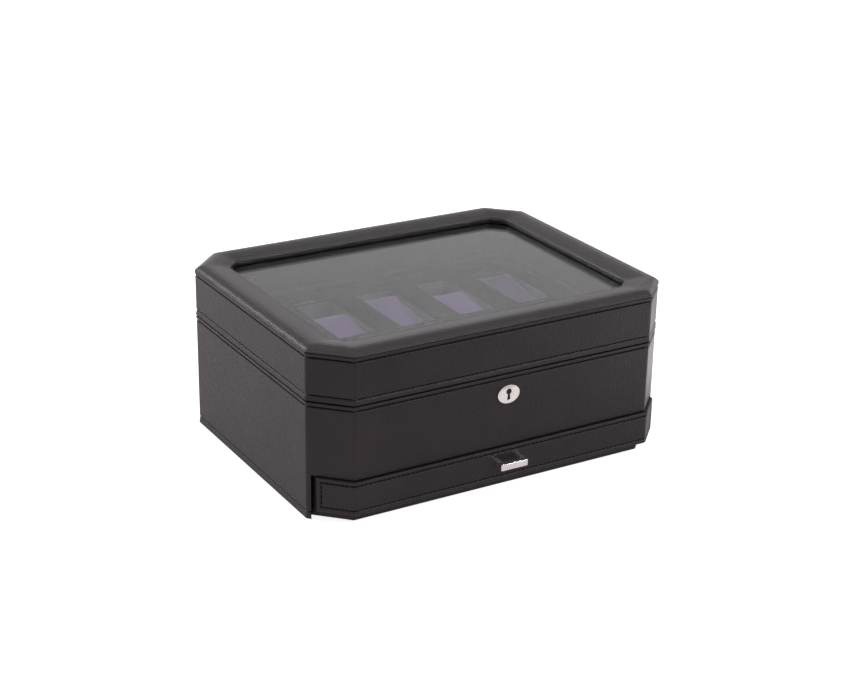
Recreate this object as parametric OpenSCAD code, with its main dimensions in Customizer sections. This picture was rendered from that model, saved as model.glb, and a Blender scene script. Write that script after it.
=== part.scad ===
// Watch box with clipped corners, a padded glazed lid, ten wells with lift-out cushions,
// a box lock and a drawer under the watch compartment.
// Origin: centre of the footprint, on the surface that the box stands on. Front is -Y, up is +Z.

/* [Box] */
// Width over the side walls
box_w = 286; // [262:1:330]
// Depth over the front and back walls
box_d = 224; // [216:1:260]
// Leg of each clipped corner
corner_cut = 24; // [18:0.5:32]
// Rounding of the upright edges
corner_r = 2.5; // [1.5:0.1:5]
// Thickness of the wall board
wall_t = 10; // [9:0.5:14]
// Thickness of the leather
leather_t = 1; // [0.8:0.1:1.5]

/* [Heights] */
// Set-back of the base board under the drawer front
plinth_in = 5; // [3:0.1:9]
// Felt under the base
felt_t = 1; // [0.8:0.1:3]
// Base board
base_t = 6; // [4:0.5:9]
// Clear height of the drawer bay
bay_h = 26.9; // [22:0.1:50]
// Deck between the drawer bay and the wells
deck_t = 4; // [3:0.5:6]
// Height of the watch tray over the deck
tray_h = 43.6; // [42.5:0.1:60]
// Step from the tray up to the rim
rim_step = 5.3; // [3.4:0.1:10]
// Gap between rim and lid
lid_gap = 0.4; // [0.3:0.1:0.8]
// Height of the lid walls
lid_h = 34.4; // [32:0.1:50]

/* [Leather edges] */
// How far a turned edge stands out
bead_out = 0.45; // [0.2:0.05:0.7]
// Distance of the seam from the edge on the drawer front, the rim and the top of the lid
seam_in = 3.4; // [3:0.1:6]
// Distance of the seam from the lower edge of the lid
lid_hem = 4.7; // [3:0.1:7]
// Distance of the seam from the foot of the case
foot_hem = 6.4; // [3:0.1:9]
// Depth of the seam groove
seam_deep = 0.35; // [0.1:0.05:0.5]

/* [Lid] */
// Width of the padded frame round the glass
frame_w = 23.5; // [21:0.5:30]
// Crown of the padded frame
pad_h = 4.1; // [3:0.1:8]
// Place of the crest across the padded frame, counted from its outer edge
crest_at = 0.38; // [0.3:0.01:0.6]
// Height of the padding at the opening, over the frame's outer edge
lip_rise = 0.6; // [0:0.1:1.5]
// Rounding of the opening's corners
opening_r = 8; // [1:0.5:12]
// Thickness of the lid's top board
lid_top_t = 2.6; // [2.4:0.1:6]
// Glass thickness
glass_t = 3; // [2:0.5:4]
// How far the glass reaches under the frame
glass_hold = 5; // [3:0.5:8]
// Height of the strip that holds the glass
strip_h = 3; // [2:0.5:5]

/* [Wells and cushions] */
// Number of wells across
columns = 5; // [3:1:5]
// Well width, across the box
well_w = 35; // [33:0.5:38]
// Well length, front to back
well_l = 79; // [70:0.5:83]
// Centre distance of the wells
pitch_x = 51; // [46:0.5:52]
// Width of the rail between the rows
rail_w = 10; // [6:0.5:24]
// Leather-covered top of the tray
cover_t = 3.6; // [1.5:0.1:5]
// Suede lining of the wells
liner_t = 1; // [0.6:0.1:1.5]
// Cushion width
cushion_w = 29; // [24:0.5:30]
// Length of the cushions in the first, third and fifth columns
cushion_long = 63; // [40:0.5:65]
// Length of the cushions in the second and fourth columns
cushion_short = 47; // [36:0.5:65]
// Cushion height at its back
cushion_h = 38; // [30:0.5:40]
// Angle at which a cushion's top falls towards the front
cushion_fall = 8.5; // [0:0.5:12]
// Gap in front of each cushion
cushion_gap = 3.5; // [1:0.1:5]

/* [Drawer] */
// How far the drawer front stands out
front_out = 2.4; // [1:0.1:4]
// Gap round the drawer front
front_gap = 0.6; // [0.5:0.1:1]
// Gap at the ends of the drawer front
end_gap = 1.4; // [1:0.1:2.5]
// Side board left standing outside the drawer front
lip_t = 2.4; // [2:0.1:4]
// Board of the drawer sides and back
side_t = 6; // [4:0.5:9]
// Drawer bottom
bottom_t = 3; // [2:0.5:5]
// Suede lining of the drawer
lining_t = 1; // [0.6:0.1:2]
// Divider thickness
divider_t = 5; // [3:0.5:8]
// Dividers in the drawer
dividers = 2; // [1:1:4]
// Running gap beside and under the drawer
run_gap = 0.5; // [0.3:0.1:1]
// Room over the drawer sides
head_gap = 2.4; // [1:0.1:5]

/* [Pull] */
// Length of the pull
pull_w = 21.6; // [18:0.1:40]
// Height of the pull
pull_h = 4.7; // [4.6:0.1:8]
// How far the pull stands out
pull_out = 10; // [9:0.1:16]
// Thickness of its bar and legs
pull_t = 3.8; // [3.6:0.1:4]
// Corner rounding
pull_r = 0.7; // [0.4:0.1:3]
// Height of the pull over the middle of the drawer front
pull_raise = 2.2; // [0:0.1:4]

/* [Lock] */
// Width of the key plate
plate_w = 17.6; // [15:0.1:22]
// Height of the key plate
plate_h = 13.5; // [12:0.1:16]
// Thickness of the key plate
plate_t = 1.1; // [0.8:0.1:2]
// Keyhole radius
key_r = 2.1; // [1.8:0.1:2.4]
// Height of the keyhole
key_h = 8.2; // [7:0.1:9]
// Keyhole axis below the rim
key_drop = 12.8; // [12:0.1:16]
// Width of the lock case
lock_w = 36; // [35:0.5:44]
// Depth of the lock case
lock_d = 7; // [6.6:0.1:7.4]
// Height of the lock case
lock_h = 21; // [20:0.5:26]
// Sheet of the lock case
lock_wall = 1; // [0.8:0.1:1.2]
// Travel of the bolt
bolt_travel = 3.6; // [3:0.1:4]
// Distance of the two staples
staple_x = 18; // [16:0.5:20]
// Depth that the staples reach
staple_h = 8; // [7.6:0.1:9]

/* [Hinges] */
// Distance of the two hinges
hinge_x = 150; // [110:1:190]
// Length of a hinge
hinge_l = 36; // [30:1:50]
// Thickness of a leaf
leaf_t = 1.2; // [1.1:0.1:1.6]
// Depth that a leaf reaches over the wall
leaf_d = 8.5; // [7.5:0.1:9]
// Radius of the knuckles
knuckle_r = 2.5; // [2.2:0.1:3.5]
// Radius of the pin
pin_r = 1; // [0.8:0.1:1.2]
// Head radius of the hinge screws
screw_r = 1.8; // [1.5:0.1:2]

/* [Hidden] */
eps = 0.01;
skin_gap = 0.1;          // room round let-in metal parts
pin_gap = 0.05;          // running fit of the lid knuckle on its pin
soft_gap = 0.3;          // room under what lies loose
tray_gap = 0.2;          // room round the tray
arc_n = 3;               // facets at each upright edge
turn = 45;               // turn of the outline at each upright edge
past = 1;                // how far a cut runs past the face it opens

// Levels
floor_z = felt_t + base_t;                       // top of the base board
deck_z = floor_z + bay_h;                        // underside of the deck
tray_z = deck_z + deck_t;                        // underside of the tray
cover_z = tray_z + tray_h;                       // top of the tray cover
rim_z = cover_z + rim_step;                      // top of the case
lid_z = rim_z + lid_gap;                         // underside of the lid
seam_z = lid_z + lid_h;                          // top of the lid walls
glass_z = seam_z - lid_top_t;                    // top of the glass
strip_z = glass_z - glass_t - strip_h;           // underside of the glass strip
key_z = rim_z - key_drop;                        // keyhole axis

// Insets from the outer faces
board_in = leather_t;                            // outer face of the boards
room_in = leather_t + wall_t;                    // inner face of the boards
lined_in = room_in + leather_t;                  // face of the inner leather
front_y = -box_d / 2;
room_x = box_w / 2 - room_in;                    // inner faces of the side boards
room_end = corner(0, room_in)[1];                // where the straight sides of the room end, front and back

// Wells
field_w = (columns - 1) * pitch_x + well_w;
field_l = 2 * well_l + rail_w;
well_xs = [for (i = [0:columns - 1]) (i - (columns - 1) / 2) * pitch_x];
well_front = [-field_l / 2, rail_w / 2];         // front edge of each row of wells

// Drawer
wing_back = 3;
wing_y = front_y + corner_cut + wing_back;       // front ends of the side boards below the deck
wing_x = box_w / 2 - lip_t;                      // inner faces of the lips
front_x = wing_x - end_gap;                      // ends of the drawer front
drawer_x = room_x - run_gap;                     // outer faces of the drawer sides
drawer_y = room_end - 3 * run_gap;               // back of the drawer
drawer_z0 = floor_z + run_gap;
drawer_z1 = deck_z - head_gap;
bottom_up = 1;                                   // drawer bottom over the lower edges of the sides
bottom_z = drawer_z0 + bottom_up;                // underside of the drawer bottom
lining_drop = 1;                                 // top of the lining below the tops of the sides
divider_drop = 3;                                // tops of the dividers below the tops of the sides
front_z0 = floor_z + front_gap + 0.2;
front_z1 = deck_z - front_gap;
front_mid = (front_z0 + front_z1) / 2;
cell_y1 = drawer_y - side_t;                     // inner face of the drawer back
cell_x = drawer_x - side_t;                      // inner faces of the drawer sides
cell_pitch = (2 * (cell_x - lining_t) + divider_t) / (dividers + 1);
divider_xs = [for (i = [1:dividers]) lining_t - cell_x + i * cell_pitch - divider_t / 2];

// Pull
pull_z = front_mid + pull_raise;
pull_y = front_y - front_out + bead_out;         // face that the pull stands on
pull_screw_r = 1.2;
pull_screw_in = 4;                               // reach of the screws into the legs
pull_screw_x = (pull_w - pull_t) / 2;
pull_head_r = 2.6;
pull_head_t = 1.6;

// Lock
lock_y = front_y + leather_t + wall_t / 2;       // middle plane of the lock
selvedge_l = lock_w + 5;
selvedge_w = lock_d + 1.6;
selvedge_t = 1.2;
lock_z1 = rim_z - selvedge_t;                    // underside of the selvedge
lock_z0 = lock_z1 - lock_h;
staple_t = 1.6;
staple_w = 4;
window_h = 2.6;
window_w = 2;
window_z = lid_z - staple_h + 1.2;               // underside of the staple windows
bolt_t = 1.4;
bolt_gap = 0.3;
finger_h = window_h - 2 * bolt_gap;
bar_h = 3.3;
bar_z = lid_z - staple_h - 0.5 - bar_h;          // underside of the bolt's bar
post_w = 2;
stud_r = 0.8;
stud_xs = [-7, 5.5];
drill_pin_r = 0.9;

// Hinges
axis_out = 0.3;                                  // gap between the knuckles and the turned edges
axis_y = box_d / 2 + bead_out + knuckle_r + axis_out;
axis_z = (rim_z + lid_z) / 2;
knuckle_l = hinge_l / 3;
knuckle_gap = 0.15;
leaf_y = box_d / 2 - leaf_d;                     // front edge of the leaves
screw_l = 7;
screw_in = 6;                                    // outer screws from the ends of the leaf
screw_back = 3.6;                                // screws from the front edge of the leaf
screw_xs = [for (i = [-1:1]) i * (hinge_l / 2 - screw_in)];
screw_y = leaf_y + screw_back;

function cushion_name(r, i) = str("cushion_", r == 0 ? "front_" : "back_", i + 1);

// ---- Plan outline ----------------------------------------------------------------------

// Sharp corner k of the clipped outline, inset by t; k counts round from the right side
function corner(k, t) =
    let (x = box_w / 2 - t, y = box_d / 2 - t, c = corner_cut - t * (2 - sqrt(2)),
         q = floor(k / 2),
         sx = (q == 0 || q == 3) ? 1 : -1, sy = q < 2 ? 1 : -1,
         on_side = (k % 4 == 0 || k % 4 == 3))
    on_side ? [sx * x, sy * (y - c)] : [sx * (x - c), sy * y];

// Outline inset by t, with corners rounded to r
function rounded_plan(t, r) =
    [for (k = [0:7], j = [0:arc_n])
        let (mid = turn * (k + 0.5), a = turn * (k + j / arc_n), v = corner(k, t), h = r / cos(turn / 2))
        [v[0] - h * cos(mid) + r * cos(a), v[1] - h * sin(mid) + r * sin(a)]];

// Outline inset by t, its corners parallel to the outer ones
function plan(t) = rounded_plan(t, max(corner_r - t, 0.3));

// Flat board of the outline inset by t, from z0 to z1
module board(t, z0, z1) {
    translate([0, 0, z0]) linear_extrude(z1 - z0) polygon(plan(t));
}

// Ring between two insets
module ring(t_out, t_in, z0, z1) {
    translate([0, 0, z0]) linear_extrude(z1 - z0)
        difference() {
            polygon(plan(t_out));
            polygon(plan(t_in));
        }
}

// Closed profile of [inset, z] points carried round the whole outline; a third number rounds the corners
module carried_round(profile) {
    n = len(profile);
    m = len(plan(0));
    points = [for (p = profile)
        for (q = len(p) > 2 ? rounded_plan(p[0], p[2]) : plan(p[0])) [q[0], q[1], p[1]]];
    faces = [for (i = [0:n - 1], j = [0:m - 1])
        let (a = i * m + j, b = i * m + (j + 1) % m,
             c = ((i + 1) % n) * m + (j + 1) % m, d = ((i + 1) % n) * m + j)
        each [[a, c, b], [a, d, c]]];
    polyhedron(points, faces);
}

// Turned and stitched edge: from the edge at height z over the bead and the seam groove to the panel
function turned_edge(z, up, seam = seam_in) = [
    for (p = [[0.9, 0], [0.1, 0.25], [-bead_out, 1.2], [0, seam - 0.5], [seam_deep, seam], [0, seam + 0.6]])
    [p[0], z + up * p[1]]];
function reversed(list) = [for (i = [len(list) - 1:-1:0]) list[i]];

// Box from corner to corner
module block(a, b) {
    translate(a) cube(b - a);
}

// Space below the deck that the drawer front fills
module drawer_mouth() {
    block([-wing_x, -box_d, -eps], [wing_x, wing_y, deck_z]);
}

// Way in for the drawer, square between the side boards where the room's corners are clipped
module drawer_way() {
    block([-room_x, -box_d, floor_z], [room_x, -room_end, deck_z]);
}

// Keyhole outline: round head with a flared slot below, in X and Z, running along Y
module keyhole(y0, y1) {
    slot = key_h - key_r;
    slot_w = key_r * 1.15;
    translate([0, y1, key_z]) rotate([90, 0, 0]) linear_extrude(y1 - y0) {
        circle(key_r, $fn = 40);
        polygon([[-slot_w / 3, 0], [slot_w / 3, 0], [slot_w / 2, -slot], [-slot_w / 2, -slot]]);
    }
}

// ---- Case ------------------------------------------------------------------------------

module case_walls() {
    color("#6d5638")
    difference() {
        ring(board_in, room_in, leather_t, rim_z - leather_t);
        drawer_mouth();
        drawer_way();
        lock_pocket();
        hinge_pocket(rim_z, -1);
        screw_holes(rim_z, -1);
        keyhole(front_y - past, lock_y);
    }
}

module base_board() {
    color("#1d1b1c") {
        board(room_in, felt_t, floor_z);
        // nosing under the drawer front
        intersection() {
            nosed_board();
            block([-front_x, -box_d, felt_t], [front_x, wing_y - eps, floor_z]);
        }
    }
}

// Board with a rounded lower edge, set back under the drawer front
module nosed_board() {
    round_r = base_t * 0.25;
    steps = 5;
    stacked(concat(
        [for (i = [0:steps]) let (a = 90 * i / steps)
            [plinth_in + round_r * (1 - sin(a)), felt_t + round_r * (1 - cos(a))]],
        [[plinth_in, floor_z]]));
}

// Solid stacked from outlines [inset, z], closed at both ends
module stacked(rings) {
    n = len(rings);
    m = len(plan(0));
    points = [for (p = rings) for (q = plan(p[0])) [q[0], q[1], p[1]]];
    sides = [for (i = [0:n - 2], j = [0:m - 1])
        let (a = i * m + j, b = i * m + (j + 1) % m)
        each [[a, a + m, b + m], [a, b + m, b]]];
    bottom = [[for (j = [0:m - 1]) j]];
    top = [[for (j = [m - 1:-1:0]) (n - 1) * m + j]];
    polyhedron(points, concat(sides, bottom, top));
}

module base_felt() {
    color("#1a191a") board(room_in - 2, 0, felt_t);
}

module drawer_deck() {
    color("#6d5638") board(room_in, deck_z, tray_z);
}

// Leather round the walls, turned in under the base and over the rim
module case_leather() {
    hem = room_in - 2.4;
    profile = concat(
        [[hem, 0]],
        turned_edge(0, 1, foot_hem),
        reversed(turned_edge(rim_z, -1)),
        [[lined_in - 0.9, rim_z], [lined_in, rim_z - 0.8], [lined_in, cover_z + soft_gap],
         [room_in, cover_z + soft_gap], [room_in, rim_z - leather_t],
         [board_in, rim_z - leather_t], [board_in, leather_t], [hem, leather_t]]);
    color("#2e2b2b")
    difference() {
        carried_round(profile);
        drawer_mouth();
        selvedge_pocket(rim_z - 2 * leather_t, rim_z + past);
        hinge_pocket(rim_z, -1);
        keyhole(front_y - past, lock_y);
    }
}

// ---- Watch tray ------------------------------------------------------------------------

// All wells, widened by w, from z0 to z1
module wells(w, z0, z1) {
    for (y = well_front, x = well_xs)
        block([x - well_w / 2 - w, y - w, z0], [x + well_w / 2 + w, y + well_l + w, z1]);
}

module tray_frame() {
    color("#3c3a3b")
    difference() {
        board(room_in + tray_gap, tray_z, cover_z - cover_t);
        block([-field_w / 2, -field_l / 2, tray_z - past], [field_w / 2, field_l / 2, cover_z]);
    }
}

module tray_rail() {
    color("#3c3a3b")
    block([-field_w / 2, -rail_w / 2, tray_z], [field_w / 2, rail_w / 2, cover_z - cover_t]);
}

module tray_partitions() {
    color("#3c3a3b")
    for (y = well_front, i = [0:columns - 2])
        block([well_xs[i] + well_w / 2, y, tray_z],
              [well_xs[i + 1] - well_w / 2, y + well_l, cover_z - cover_t]);
}

module tray_cover() {
    color("#4a4849")
    difference() {
        board(room_in + tray_gap, cover_z - cover_t, cover_z);
        wells(0, cover_z - 2 * cover_t, cover_z + past);
    }
}

module well_liners() {
    color("#6f6577")
    difference() {
        wells(0, tray_z, cover_z - cover_t);
        wells(-liner_t, tray_z + liner_t, cover_z);
    }
}

// Cushion as a crowned wedge: rounded sections in Y and Z, falling to the front, carried across X
function cushion_section(x, l, h, r, s, bulge) =
    [for (q = [0:3], j = [0:4])
        let (a = 90 * q + 22.5 * j,
             cy = ((q == 0 || q == 3) ? 1 : -1) * (l / 2 - r), cz = (q < 2 ? 1 : -1) * (h / 2 - r),
             y = (cy + r * cos(a)) * s, top = bulge - (l / 2 - y) * tan(cushion_fall))
        [x, y, (cz + r * sin(a)) * s + (cz > 0 ? top : 0) + h / 2]];

module cushion(l) {
    r = 5;
    half = cushion_w / 2;
    // [place across the cushion, size of the section there, crown of its top]
    rings = [[-1, 0.90, 0], [-0.92, 0.97, 0.2], [-0.7, 1, 0.5], [0, 1, 0.9], [0.7, 1, 0.5], [0.92, 0.97, 0.2],
             [1, 0.90, 0]];
    m = 20;
    points = [for (g = rings) each cushion_section(g[0] * half, l, cushion_h, r, g[1], g[2])];
    sides = [for (i = [0:len(rings) - 2], j = [0:m - 1])
        let (a = i * m + j, b = i * m + (j + 1) % m)
        each [[a, b + m, b], [a, a + m, b + m]]];
    ends = [[for (j = [0:m - 1]) j], [for (j = [m - 1:-1:0]) (len(rings) - 1) * m + j]];
    polyhedron(points, concat(sides, ends));
}

module placed_cushion(r, i) {
    l = i % 2 == 0 ? cushion_long : cushion_short;
    color("#6b5f78")
    translate([well_xs[i], well_front[r] + liner_t + cushion_gap + l / 2, tray_z + liner_t + soft_gap])
        cushion(l);
}

// ---- Lock ------------------------------------------------------------------------------

module selvedge_pocket(z0, z1) {
    translate([0, lock_y, (z0 + z1) / 2])
        cube([selvedge_l + 2 * skin_gap, selvedge_w + 2 * skin_gap, z1 - z0], center = true);
}

module lock_pocket() {
    gap = 2 * skin_gap;
    block([-lock_w / 2 - gap, lock_y - lock_d / 2 - gap, lock_z0 - gap],
          [lock_w / 2 + gap, lock_y + lock_d / 2 + gap, rim_z]);
    selvedge_pocket(lock_z1, rim_z + past);
}

module staple_slots(z0, z1) {
    for (s = [-1, 1])
        translate([s * staple_x / 2, lock_y, (z0 + z1) / 2])
            cube([staple_t + 1, staple_w + 1, z1 - z0], center = true);
}

module lock_case() {
    inner_w = lock_w / 2 - lock_wall;
    inner_d = lock_d / 2 - lock_wall;
    color("#c9b370") {
        difference() {
            union() {
                block([-lock_w / 2, lock_y - lock_d / 2, lock_z0],
                      [lock_w / 2, lock_y + lock_d / 2, lock_z1 + eps]);
                translate([0, lock_y, lock_z1 + selvedge_t / 2])
                    cube([selvedge_l, selvedge_w, selvedge_t], center = true);
            }
            block([-inner_w, lock_y - inner_d, lock_z0 + lock_wall],
                  [inner_w, lock_y + inner_d, lock_z1 - lock_wall]);
            staple_slots(lock_z1 - 2 * lock_wall, rim_z + past);
            keyhole(front_y, lock_y);
        }
        // pin that the key turns on, and the two studs that guide the bolt
        translate([0, lock_y + inner_d + eps, key_z]) rotate([90, 0, 0])
            cylinder(h = 2 * inner_d + lock_wall, r = drill_pin_r, $fn = 32);
        for (x = stud_xs)
            translate([x, lock_y + inner_d + eps, bar_z + bar_h / 2]) rotate([90, 0, 0])
                cylinder(h = inner_d + bolt_t / 2 + 0.6, r = stud_r, $fn = 32);
    }
}

// Bolt: a bar on two studs, with a finger beside each staple and a notch for the key
module lock_bolt() {
    tip = staple_t / 2 + bolt_gap;
    finger_x = tip + bolt_travel + post_w;
    finger_z = window_z + bolt_gap;
    bar_x0 = -staple_x / 2 - finger_x;
    bar_x1 = staple_x / 2 - tip;
    color("#b8b4a8")
    translate([0, lock_y + bolt_t / 2, 0]) rotate([90, 0, 0]) linear_extrude(bolt_t)
        difference() {
            union() {
                translate([bar_x0, bar_z]) square([bar_x1 - bar_x0, bar_h]);
                for (s = [-1, 1]) {
                    translate([s * staple_x / 2 - finger_x, bar_z])
                        square([post_w, finger_z + finger_h - bar_z]);
                    translate([s * staple_x / 2 - finger_x, finger_z])
                        square([finger_x - tip, finger_h]);
                }
            }
            for (x = stud_xs) {
                translate([x, bar_z + bar_h / 2]) circle(stud_r + skin_gap, $fn = 32);
                translate([x - bolt_travel, bar_z + bar_h / 2]) circle(stud_r + skin_gap, $fn = 32);
                translate([x - bolt_travel, bar_z + bar_h / 2 - stud_r - skin_gap])
                    square([bolt_travel, 2 * (stud_r + skin_gap)]);
            }
            translate([-bolt_travel, bar_z - 1]) square([bolt_travel, 1.8]);
        }
}

// Oval plate with a rolled edge round the keyhole
module key_plate() {
    m = 48;
    mid = key_z - key_h / 2 + key_r;
    // [inset, height] over the face of the leather
    rings = [[0, 0], [0, plate_t * 0.45], [0.3, plate_t * 0.8], [0.9, plate_t], [1.5, plate_t * 0.92]];
    points = [for (g = rings, j = [0:m - 1])
        let (a = 360 * j / m)
        [(plate_w / 2 - g[0]) * cos(a), front_y - g[1], mid + (plate_h / 2 - g[0]) * sin(a)]];
    sides = [for (i = [0:len(rings) - 2], j = [0:m - 1])
        let (a = i * m + j, b = i * m + (j + 1) % m)
        each [[a, b + m, b], [a, a + m, b + m]]];
    ends = [[for (j = [0:m - 1]) j], [for (j = [m - 1:-1:0]) (len(rings) - 1) * m + j]];
    color("#d8d6d0")
    difference() {
        polyhedron(points, concat(sides, ends));
        keyhole(front_y - 2 * plate_t, front_y + past);
    }
}

// ---- Hinges ----------------------------------------------------------------------------

// Pocket of both leaves in an edge at height z; up is +1 in the lid and -1 in the case
module hinge_pocket(z, up) {
    for (s = [-1, 1])
        translate([(s * hinge_x - hinge_l) / 2 - skin_gap, leaf_y - skin_gap, up > 0 ? z - past : z - leaf_t])
            cube([hinge_l + 2 * skin_gap, leaf_d + bead_out + past, leaf_t + past]);
}

module screw_holes(z, up) {
    for (s = [-1, 1], x = screw_xs)
        translate([s * hinge_x / 2 + x, screw_y, up > 0 ? z : z - screw_l - leaf_t])
            cylinder(h = screw_l + leaf_t, r = screw_r / 2 + skin_gap, $fn = 24);
}

// One leaf with its knuckles; middle says whether it has the middle knuckle or the outer two
module leaf(z, up, middle) {
    reach = axis_y - leaf_y;
    difference() {
        union() {
            translate([-hinge_l / 2, leaf_y, up > 0 ? z : z - leaf_t]) cube([hinge_l, reach, leaf_t]);
            translate([-hinge_l / 2, axis_y, axis_z]) rotate([0, 90, 0])
                cylinder(h = hinge_l, r = knuckle_r, $fn = 48);
        }
        for (i = [-1:1])
            if ((i == 0) != middle) {
                x0 = (i - 0.5) * knuckle_l - (i == -1 ? past : knuckle_gap);
                x1 = (i + 0.5) * knuckle_l + (i == 1 ? past : knuckle_gap);
                block([x0, axis_y - knuckle_r - axis_out, axis_z - 2 * knuckle_r],
                      [x1, axis_y + 2 * knuckle_r, axis_z + 2 * knuckle_r]);
            }
        translate([-hinge_l, axis_y, axis_z]) rotate([0, 90, 0])
            cylinder(h = 2 * hinge_l, r = middle ? pin_r + pin_gap : pin_r, $fn = 32);
        for (x = screw_xs)
            translate([x, screw_y, z]) rotate([up > 0 ? 0 : 180, 0, 0]) {
                translate([0, 0, -past])
                    cylinder(h = leaf_t + 2 * past, r = screw_r / 2 + skin_gap, $fn = 24);
                cylinder(h = leaf_t, r1 = screw_r + skin_gap, r2 = screw_r / 2 + skin_gap, $fn = 24);
            }
    }
}

module hinge_case_leaves() {
    color("#d8d6d0") for (s = [-1, 1]) translate([s * hinge_x / 2, 0, 0]) leaf(rim_z, -1, false);
}

module hinge_lid_leaves() {
    color("#d8d6d0") for (s = [-1, 1]) translate([s * hinge_x / 2, 0, 0]) leaf(lid_z, 1, true);
}

module hinge_pins() {
    color("#b8b4a8") for (s = [-1, 1])
        translate([s * hinge_x / 2 - hinge_l / 2, axis_y, axis_z]) rotate([0, 90, 0])
            cylinder(h = hinge_l, r = pin_r, $fn = 32);
}

// Countersunk screws, their heads flush with the leaf at height z
module screws(z, up) {
    color("#d8d6d0") for (s = [-1, 1], x = screw_xs)
        translate([s * hinge_x / 2 + x, screw_y, z]) rotate([up > 0 ? 0 : 180, 0, 0])
            difference() {
                union() {
                    cylinder(h = leaf_t, r1 = screw_r, r2 = screw_r / 2, $fn = 24);
                    cylinder(h = screw_l, r = screw_r / 2, $fn = 24);
                }
                translate([-2 * screw_r, -0.2, -1]) cube([4 * screw_r, 0.4, 1.4]);
            }
}

module hinge_case_screws() { screws(rim_z, -1); }
module hinge_lid_screws() { screws(lid_z, 1); }

// ---- Lid -------------------------------------------------------------------------------

module lid_frame() {
    color("#6d5638")
    difference() {
        union() {
            ring(board_in, room_in, lid_z + leather_t, seam_z);
            ring(board_in, frame_w - leather_t, glass_z, seam_z);
        }
        selvedge_pocket(lid_z - past, lid_z + selvedge_t);
        hinge_pocket(lid_z, 1);
        screw_holes(lid_z, 1);
    }
}

module lid_leather() {
    profile = concat(
        [[room_in, lid_z]],
        turned_edge(lid_z, 1, lid_hem),
        reversed(turned_edge(seam_z, -1)),
        [[board_in, seam_z], [board_in, lid_z + leather_t], [room_in, lid_z + leather_t]]);
    color("#2e2b2b")
    difference() {
        carried_round(profile);
        selvedge_pocket(lid_z - past, lid_z + 2 * leather_t);
        hinge_pocket(lid_z, 1);
    }
}

// Crown of the padding at u, from 0 at the outer edge to 1 at the opening: steep, then a long fall
function crown(u) = pad_h * (u < crest_at
    ? pow(1 - pow(1 - u / crest_at, 2), 0.75)
    : 1 - (1 - lip_rise / pad_h) * pow((u - crest_at) / (1 - crest_at), 1.6));

// Padded frame: crowned top, turned down over a rounded lip inside the opening
module lid_bezel() {
    steps = 12;
    lip_r = 1;
    lip_a = 66;
    lip_u = 1 - lip_r * (1 - cos(lip_a)) / frame_w;
    lip_z = seam_z + crown(lip_u) - lip_r * sin(lip_a);
    foot = glass_z + soft_gap;
    top = [for (i = [0:steps - 1])
        let (u = lip_u * (1 - cos(180 * i / steps)) / 2)
        [frame_w * u, seam_z + crown(u), corner_r + (opening_r - corner_r) * u]];
    lip = [for (a = [lip_a:-22:0]) [frame_w - lip_r * (1 - cos(a)), lip_z + lip_r * sin(a), opening_r]];
    under = [[frame_w, foot, opening_r], [frame_w - leather_t, foot], [frame_w - leather_t, seam_z]];
    color("#46444a")
    carried_round(concat(top, lip, under));
}

module lid_glass() {
    color([0.75, 0.8, 0.78, 0.35]) board(frame_w - leather_t - glass_hold, glass_z - glass_t, glass_z);
}

module glass_strip() {
    color("#3c3a3b") ring(lined_in, frame_w - leather_t, strip_z, glass_z - glass_t);
}

module lid_lining() {
    color("#4a4849") ring(room_in, lined_in, lid_z, glass_z);
}

// Plate under the lid with the two staples that the bolt catches
module lock_link_plate() {
    color("#c9b370") {
        difference() {
            union() {
                translate([0, lock_y, lid_z + selvedge_t / 2])
                    cube([selvedge_l, selvedge_w, selvedge_t], center = true);
                for (s = [-1, 1])
                    translate([s * staple_x / 2, lock_y, lid_z - staple_h / 2 + eps])
                        cube([staple_t, staple_w, staple_h], center = true);
            }
            for (s = [-1, 1])
                translate([s * staple_x / 2, lock_y, window_z + window_h / 2])
                    cube([2 * staple_t, window_w, window_h], center = true);
        }
    }
}

// ---- Drawer ----------------------------------------------------------------------------

// Plan of the drawer front: three facets between two insets, with square ends
module front_plan(t_out, end) {
    difference() {
        intersection() {
            polygon(plan(t_out));
            translate([-end, -box_d]) square([2 * end, box_d + wing_y - front_gap]);
        }
        polygon(plan(room_in));
    }
}

module drawer_front() {
    color("#6d5638")
    difference() {
        translate([0, 0, front_z0 + leather_t]) linear_extrude(front_z1 - front_z0 - 2 * leather_t)
            front_plan(leather_t - front_out, front_x - leather_t);
        pull_holes();
    }
}

// Leather over the drawer front, turned in behind its edges
module drawer_front_leather() {
    out = -front_out + bead_out;
    edge = turned_edge(front_z0, 1);
    far_edge = reversed(turned_edge(front_z1, -1));
    color("#2e2b2b")
    difference() {
        intersection() {
            stacked([for (p = concat(edge, far_edge)) [p[0] + out, p[1]]]);
            translate([0, 0, front_z0 - past]) linear_extrude(front_z1 - front_z0 + 2 * past)
                front_plan(-front_out - past, front_x);
        }
        translate([0, 0, front_z0 + leather_t]) linear_extrude(front_z1 - front_z0 - 2 * leather_t)
            difference() {
                translate([-front_x + leather_t, -box_d]) square([2 * (front_x - leather_t), box_d]);
                difference() {
                    square([3 * box_w, 3 * box_d], center = true);
                    polygon(plan(leather_t - front_out));
                }
            }
        pull_holes();
    }
}

// Drawer side on the right (s = 1) or left (s = -1), its front end cut to the front's clipped corner
module drawer_side(s) {
    color("#3c3a3b")
    intersection() {
        board(room_in, drawer_z0, drawer_z1);
        block([s > 0 ? cell_x : -drawer_x, -box_d, drawer_z0 - past],
              [s > 0 ? drawer_x : -cell_x, drawer_y, drawer_z1 + past]);
    }
}
module drawer_side_left() { drawer_side(-1); }
module drawer_side_right() { drawer_side(1); }

module drawer_back() {
    color("#3c3a3b") block([-cell_x, cell_y1, drawer_z0], [cell_x, drawer_y, drawer_z1]);
}

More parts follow.
